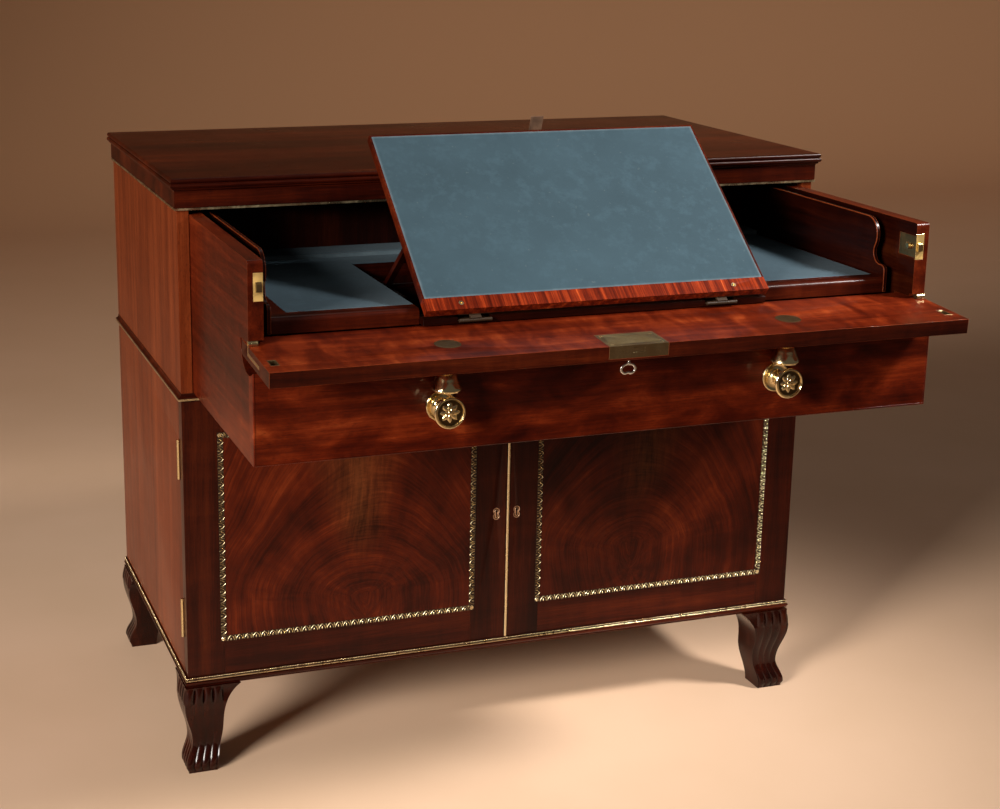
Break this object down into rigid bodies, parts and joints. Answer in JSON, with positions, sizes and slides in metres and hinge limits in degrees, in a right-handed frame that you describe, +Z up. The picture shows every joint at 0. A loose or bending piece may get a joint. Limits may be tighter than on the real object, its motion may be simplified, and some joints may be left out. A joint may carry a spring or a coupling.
{
  "type": "secretaire cabinet",
  "caption": "Mahogany secretaire: drawer with a fall front and a ratcheted writing slope over a cupboard, brass lines, reeded curved feet.",
  "frame": {"origin": "on the floor, under the middle of the object's overall width and depth as it stands with the drawer out", "axes": "+X to the right, +Y to the back, +Z up"},
  "size_m": [1.091, 1.0434, 1.0433],
  "materials": {
    "polished_mahogany": "french polished",
    "figured_mahogany": "french polished, plume figure",
    "dark_mahogany": "polished, dark",
    "plain_oak": "waxed",
    "brass": "polished and lacquered",
    "key_steel": "worn",
    "blue_lining": "smooth, matt",
    "leather_tab": "matt"
  },
  "bodies": {
    "case": {"case_side_left": "polished_mahogany", "case_side_right": "polished_mahogany", "case_back": "plain_oak", "case_floor": "plain_oak", "dust_board": "plain_oak", "shelf": "plain_oak", "drawer_guides": "plain_oak", "top_board": "polished_mahogany", "frieze": "polished_mahogany", "band_moulding": "polished_mahogany", "base_moulding": "polished_mahogany", "brass_lines": "brass", "base_reeds": "brass", "foot_front_left": "dark_mahogany", "foot_front_right": "dark_mahogany", "foot_back_left": "dark_mahogany", "foot_back_right": "dark_mahogany", "lock_keep": "brass", "case_hinges": "brass"},
    "door_left": {"door_left_frame": "polished_mahogany", "door_left_panel": "figured_mahogany", "door_left_border": "brass", "door_left_escutcheon": "brass", "door_left_hinges": "brass"},
    "door_right": {"door_right_frame": "polished_mahogany", "door_right_panel": "figured_mahogany", "door_right_border": "brass", "door_right_escutcheon": "brass", "door_right_hinges": "brass", "meeting_strip": "brass"},
    "door_bolt": {"door_lock_bolt": "brass"},
    "drawer": {"drawer_side_left": "polished_mahogany", "drawer_side_right": "polished_mahogany", "drawer_back": "plain_oak", "drawer_bottom": "plain_oak", "drawer_front": "polished_mahogany", "drawer_knobs": "brass", "writing_board": "polished_mahogany", "writing_lining": "blue_lining", "tray_rail": "polished_mahogany", "tray_cheeks": "polished_mahogany", "well_walls": "plain_oak", "ratchet_rails": "polished_mahogany", "drawer_hinge_plates": "brass", "catch_plates": "brass"},
    "catch_left": {"catch_bolt_left": "brass"},
    "catch_right": {"catch_bolt_right": "brass"},
    "fall": {"fall_board": "polished_mahogany", "fall_knobs": "brass", "fall_lock": "brass", "catch_keeps": "brass", "fall_hinges": "brass"},
    "lock_bolt": {"fall_lock_bolt": "brass"},
    "key": {"fall_key": "key_steel"},
    "slope": {"slope_board": "polished_mahogany", "slope_lining": "blue_lining", "slope_sockets": "brass", "slope_tab": "leather_tab", "slope_hinges": "brass"},
    "strut": {"slope_strut": "polished_mahogany"}
  },
  "joints": [
    {"name": "drawer_slide", "type": "slide", "parent": "case", "child": "drawer", "axis": [0, -1, 0], "range_m": [-0.12, 0.02]},
    {"name": "fall_hinge", "type": "hinge", "parent": "drawer", "child": "fall", "pos_m": [0, -0.40734, 0.7917], "axis": [1, 0, 0], "range_deg": [-93.74, 0]},
    {"name": "slope_hinge", "type": "hinge", "parent": "drawer", "child": "slope", "pos_m": [0, -0.38562, 0.7977], "axis": [1, 0, 0], "range_deg": [-38.2, 3]},
    {"name": "strut_hinge", "type": "hinge", "parent": "slope", "child": "strut", "pos_m": [0, -0.2646, 0.89294], "axis": [-1, 0, 0], "range_deg": [-76.41, 6.01]},
    {"name": "door_left_hinge", "type": "hinge", "parent": "case", "child": "door_left", "pos_m": [-0.5362, -0.02294, 0.3915], "axis": [0, 0, -1], "range_deg": [0, 110]},
    {"name": "door_right_hinge", "type": "hinge", "parent": "case", "child": "door_right", "pos_m": [0.5362, -0.02294, 0.3915], "axis": [0, 0, 1], "range_deg": [0, 110]},
    {"name": "door_bolt_slide", "type": "slide", "parent": "door_right", "child": "door_bolt", "axis": [-1, 0, 0], "range_m": [0, 0.007]},
    {"name": "catch_left_slide", "type": "slide", "parent": "drawer", "child": "catch_left", "axis": [0, 1, 0], "range_m": [0, 0.0045], "stiffness_N_per_m": 300, "springref_m": -0.004},
    {"name": "catch_right_slide", "type": "slide", "parent": "drawer", "child": "catch_right", "axis": [0, 1, 0], "range_m": [0, 0.0045], "stiffness_N_per_m": 300, "springref_m": -0.004},
    {"name": "key_turn", "type": "hinge", "parent": "fall", "child": "key", "pos_m": [-0.006, -0.49059, 0.76221], "axis": [0, 0.0652, -0.9979], "range_deg": [0, 90.5]},
    {"name": "lock_bolt_slide", "type": "slide", "parent": "fall", "child": "lock_bolt", "axis": [0, -0.9979, -0.0652], "range_m": [0, 0.008]}
  ],
  "couplings": [
    {"joint": "strut_hinge", "follows": "slope_hinge", "ratio": 2},
    {"joint": "key_turn", "follows": "lock_bolt_slide", "rad_per_m": 196.35}
  ]
}
